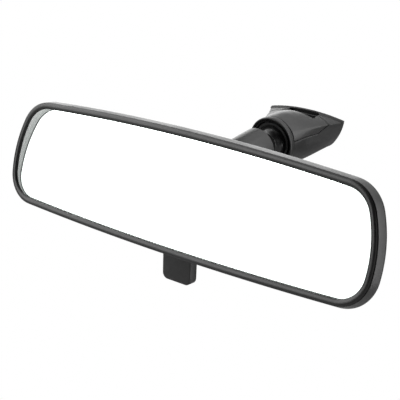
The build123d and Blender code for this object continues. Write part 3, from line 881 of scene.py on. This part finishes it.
def dress(obj, *kinds):
    """Gives the object these materials.

    Clearing resets which face has which material, so it is done only where there are old ones.
    """
    if obj.data.materials:
        obj.data.materials.clear()
    for kind in kinds:
        obj.data.materials.append(kind)
    return obj


rim_black = plastic("rim_black", (0.004, 0.004, 0.004), (0.007, 0.007, 0.007), 0.27, 0.35, 2200, 0.00002)
case_black = plastic("case_black", (0.006, 0.006, 0.006), (0.010, 0.010, 0.010), 0.34, 0.44, 1800, 0.00004)
mount_black = plastic("mount_black", (0.005, 0.005, 0.005), (0.009, 0.009, 0.009), 0.38, 0.48, 2000, 0.00003)
lever_black = plastic("lever_black", (0.005, 0.005, 0.005), (0.008, 0.008, 0.008), 0.38, 0.48, 2000, 0.00004)
inner_grey = plastic("inner_grey", (0.020, 0.020, 0.021), (0.030, 0.030, 0.031), 0.45, 0.60)
liner_black = plastic("liner_black", (0.003, 0.003, 0.003), (0.005, 0.005, 0.005), 0.55, 0.70)
rod_black = plastic("rod_black", (0.008, 0.008, 0.008), (0.012, 0.012, 0.012), 0.22, 0.34, 1500, 0.00001)
tape_grey = plastic("tape_grey", (0.09, 0.09, 0.10), (0.14, 0.14, 0.15), 0.5, 0.7)
zinc = metal("zinc_steel", (0.45, 0.45, 0.46), (0.62, 0.62, 0.63), 0.22, 0.42)
spring = metal("spring_steel", (0.30, 0.30, 0.31), (0.44, 0.44, 0.46), 0.25, 0.45)
silver = metal("silvering", (0.95, 0.955, 0.955), (0.97, 0.975, 0.975), 0.004, 0.012, 60.0, 0.0)
ground = plastic("ground_edge", (0.60, 0.60, 0.60), (0.76, 0.76, 0.76), 0.5, 0.7)
# Painted light: the ground edge glows by emission, standing in for the light the glass carries to it, which a
# clear material without depth can't do.
painted_edge_light = ground.node_tree.nodes["Principled BSDF"]
painted_edge_light.inputs["Emission Color"].default_value = (1.0, 0.99, 0.99, 1)
painted_edge_light.inputs["Emission Strength"].default_value = 0.22
clear = clear_glass()


def piece(obj, body, slot, nodes, *kinds):
    """Dresses a built piece, lets it ride on its body and stand for its CAD nodes."""
    dress(obj, *kinds)
    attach(obj, body)
    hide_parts(*nodes)


piece(make_bezel(), "head", "rim_plastic", ["bezel"], rim_black)
piece(make_case(), "head", "case_plastic", ["rear_case"], case_black)
piece(make_glass(), "head", "glass", ["prism_glass"], clear, ground)
piece(make_silver(), "head", "silver", ["silver_backing"], silver)
piece(make_tape(), "head", "tape", ["backing_tape"], tape_grey)
piece(make_lever(), "lever", "lever_plastic", ["toggle_lever"], lever_black)
piece(make_sleeve(), "arm", "sleeve_plastic", ["stalk_sleeve"], mount_black)
piece(make_rod(), "arm", "rod_metal", ["stalk_rod"], rod_black)
piece(make_mount_base(), "mount", "mount_plastic", ["mount_base"], mount_black)
piece(make_mount_cover(), "mount", "mount_plastic", ["mount_cover"], mount_black)

CARRIED = {
    inner_grey: ["tilt_bracket", "socket_ring", "rear_seat"],
    liner_black: ["head_ball_liner", "head_ball_cup", "base_ball_liner", "front_seat"],
    zinc: ["hinge_pins", "socket_screws", "toggle_pin", "spring_plate", "clip_screws"],
    spring: ["head_spring_washer", "toggle_spring", "seat_spring", "button_clip"],
}
for kind, names in CARRIED.items():
    for name in names:
        dress(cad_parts[name], kind)

# ---------------------------------------------------------------- camera
camera = bpy.data.objects.new("camera", bpy.data.cameras.new("camera"))
bpy.context.scene.collection.objects.link(camera)
camera.data.sensor_width = 36.0
camera.data.lens = 100.2
right = Vector((0.7659, 0.6193, 0.1727)).normalized()
ahead = Vector((-0.6025, 0.7851, -0.1434)).normalized()
up = right.cross(ahead).normalized()
turn = Matrix((right, up, -ahead)).transposed().to_4x4()
camera.matrix_world = Matrix.Translation((0.3509, -0.5509, 0.0401)) @ turn
bpy.context.scene.camera = camera

# ---------------------------------------------------------------- stage and light
scene = bpy.context.scene
scene.view_settings.view_transform = "Standard"
AIM = Vector((0.0, -0.09, -0.035))
WORLD = 0.0
FLOOR_Z = -0.45
FLOOR_HALF = 4
FLOOR_TONE = 0.4
LAMP_DISTANCE = 1.3
# name, azimuth, elevation, width, height, brightness; azimuth 0 is the driver's side and 90 the +X side
LAMPS = [
    ("left_high", -37, 20, 1.0, 0.95, 3.1),
    ("left_low", -37, -17, 1.0, 1.05, 2.1),
    ("front_right", 48, -4, 0.8, 0.9, 0.5),
    ("right_low", 110, -20, 0.9, 0.9, 4.6),
    ("right", 110, 20, 0.9, 0.9, 3.8),
    ("right_high", 110, 52, 0.9, 0.9, 2.6),
    ("left_side_high", -75, 52, 0.9, 0.9, 1.9),
    ("left_side", -80, 20, 1.1, 0.9, 1.9),
    ("back_left", -145, 14, 0.9, 0.9, 2.9),
    ("top", 0, 88, 1.1, 0.9, 1.0),
    ("back_high", 180, 55, 1.1, 0.9, 1.4),
]


def lamp(name, azimuth, elevation, width, height, radiance):
    """Soft rectangular light that faces the object, with this brightness seen head on."""
    a, e = radians(azimuth), radians(elevation)
    back = Vector((sin(a) * cos(e), -cos(a) * cos(e), sin(e)))
    made = bpy.data.objects.new(name, bpy.data.lights.new(name, "AREA"))
    made.data.shape = "RECTANGLE"
    made.data.size, made.data.size_y = width, height
    made.data.energy = radiance * pi * width * height
    made.location = AIM + back * LAMP_DISTANCE
    made.rotation_mode = "QUATERNION"
    made.rotation_quaternion = (-back).to_track_quat("-Z", "Y")
    scene.collection.objects.link(made)


for row in LAMPS:
    lamp(*row)


def white_to_camera(tree, out, other):
    """Plain white backdrop for the camera; every other ray meets the real stage."""
    seen = tree.nodes.new("ShaderNodeLightPath")
    white = tree.nodes.new("ShaderNodeEmission" if out.type == "OUTPUT_MATERIAL" else "ShaderNodeBackground")
    white.inputs["Color"].default_value = (1, 1, 1, 1)
    mix = tree.nodes.new("ShaderNodeMixShader")
    tree.links.new(seen.outputs["Is Camera Ray"], mix.inputs["Fac"])
    tree.links.new(other, mix.inputs[1])
    tree.links.new(white.outputs[0], mix.inputs[2])
    tree.links.new(mix.outputs["Shader"], out.inputs["Surface"])


world = bpy.data.worlds.new("studio")
scene.world = world
world.use_nodes = True
fill = world.node_tree.nodes["Background"]
fill.inputs["Color"].default_value = (1, 1, 1, 1)
fill.inputs["Strength"].default_value = WORLD
white_to_camera(world.node_tree, world.node_tree.nodes["World Output"], fill.outputs["Background"])

floor_corners = [(x * FLOOR_HALF, y * FLOOR_HALF, FLOOR_Z) for x, y in ((-1, -1), (1, -1), (1, 1), (-1, 1))]
floor = mesh_piece("stage_floor", floor_corners, [(0, 1, 2, 3)])
floor_paint, floor_tree, floor_shader = nodes_of("floor_paint", 0.8)
floor_shader.inputs["Base Color"].default_value = (FLOOR_TONE, FLOOR_TONE, FLOOR_TONE, 1)
white_to_camera(floor_tree, floor_tree.nodes["Material Output"], floor_shader.outputs["BSDF"])
dress(floor, floor_paint)
